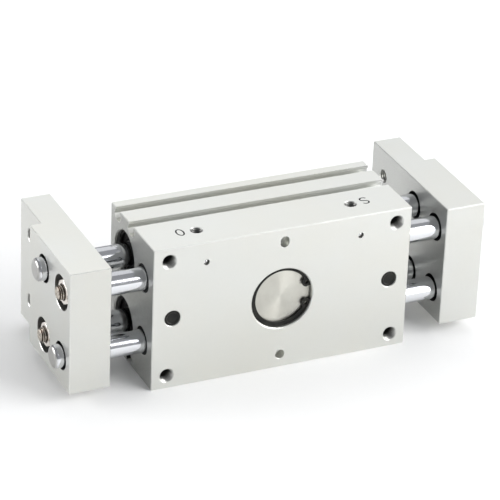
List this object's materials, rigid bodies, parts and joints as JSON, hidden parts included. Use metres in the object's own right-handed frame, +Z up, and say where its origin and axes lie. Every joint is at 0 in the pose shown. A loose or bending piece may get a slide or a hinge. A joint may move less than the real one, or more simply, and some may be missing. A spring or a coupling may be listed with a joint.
{
  "type": "wide opening pneumatic gripper",
  "caption": "Pneumatic parallel gripper: a block body with opposed fingers on long guide rods, driven by twin pistons and synchronised by a rack and pinion.",
  "frame": {"origin": "in the front face of the cylinder body, at the centre of its four mounting holes, on the pinion's axis", "axes": "+X along the rods, towards the right finger; +Y from the front mounting face towards the finger tabs; +Z up, from the bottom face to the port face"},
  "size_m": [0.1952, 0.072, 0.065],
  "materials": {
    "anodised_body": "clear hard anodised, fine matt",
    "anodised_finger": "clear anodised, fine matt",
    "cover_disc": "turned satin",
    "black_steel": "black oxide",
    "steel": "ground",
    "bronze": "sintered",
    "dark_cover": "moulded, matt",
    "dark_bush": "matt",
    "seal_rubber": "matt",
    "chrome_rod": "hard chrome, ground",
    "magnet": "bonded magnet",
    "zinc_nut": "yellowish zinc"
  },
  "bodies": {
    "housing": {"cylinder_body": "anodised_body", "pinion_cover": "cover_disc", "cover_retaining_ring": "black_steel", "pinion_axle": "steel", "thrust_washers": "bronze", "rod_cover_upper_right": "dark_cover", "rod_cover_upper_left": "dark_cover", "rod_cover_lower_right": "dark_cover", "rod_cover_lower_left": "dark_cover", "rod_cover_rings": "black_steel", "rod_cover_o_rings": "seal_rubber", "rod_seals": "seal_rubber", "rod_bushes": "bronze", "guide_bush_upper_right": "dark_bush", "guide_bush_upper_left": "dark_bush", "guide_bush_lower_right": "dark_bush", "guide_bush_lower_left": "dark_bush", "passage_balls": "steel", "blanking_plugs": "black_steel"},
    "left_jaw": {"left_finger": "anodised_finger", "upper_rack_rod": "chrome_rod", "lower_piston_rod": "chrome_rod", "lower_piston": "anodised_body", "lower_piston_seals": "seal_rubber", "lower_piston_magnet": "magnet", "lower_piston_clips": "black_steel", "left_spring_washers": "black_steel", "left_lock_nuts": "zinc_nut"},
    "right_jaw": {"right_finger": "anodised_finger", "lower_rack_rod": "chrome_rod", "upper_piston_rod": "chrome_rod", "upper_piston": "anodised_body", "upper_piston_seals": "seal_rubber", "upper_piston_magnet": "magnet", "upper_piston_clips": "black_steel", "right_spring_washers": "black_steel", "right_lock_nuts": "zinc_nut"},
    "pinion": {"pinion": "steel", "pinion_bush": "bronze"}
  },
  "joints": [
    {"name": "right_jaw_slide", "type": "slide", "parent": "housing", "child": "right_jaw", "axis": [1, 0, 0], "range_m": [-0.005, 0.035]},
    {"name": "left_jaw_slide", "type": "slide", "parent": "housing", "child": "left_jaw", "axis": [-1, 0, 0], "range_m": [-0.005, 0.035]},
    {"name": "pinion_spin", "type": "hinge", "parent": "housing", "child": "pinion", "pos_m": [0, 0.0114, 0], "axis": [0, -1, 0], "range_deg": [-24, 167.5]}
  ],
  "couplings": [
    {"joint": "left_jaw_slide", "follows": "right_jaw_slide", "ratio": 1},
    {"joint": "pinion_spin", "follows": "right_jaw_slide", "rad_per_m": 83.333}
  ]
}
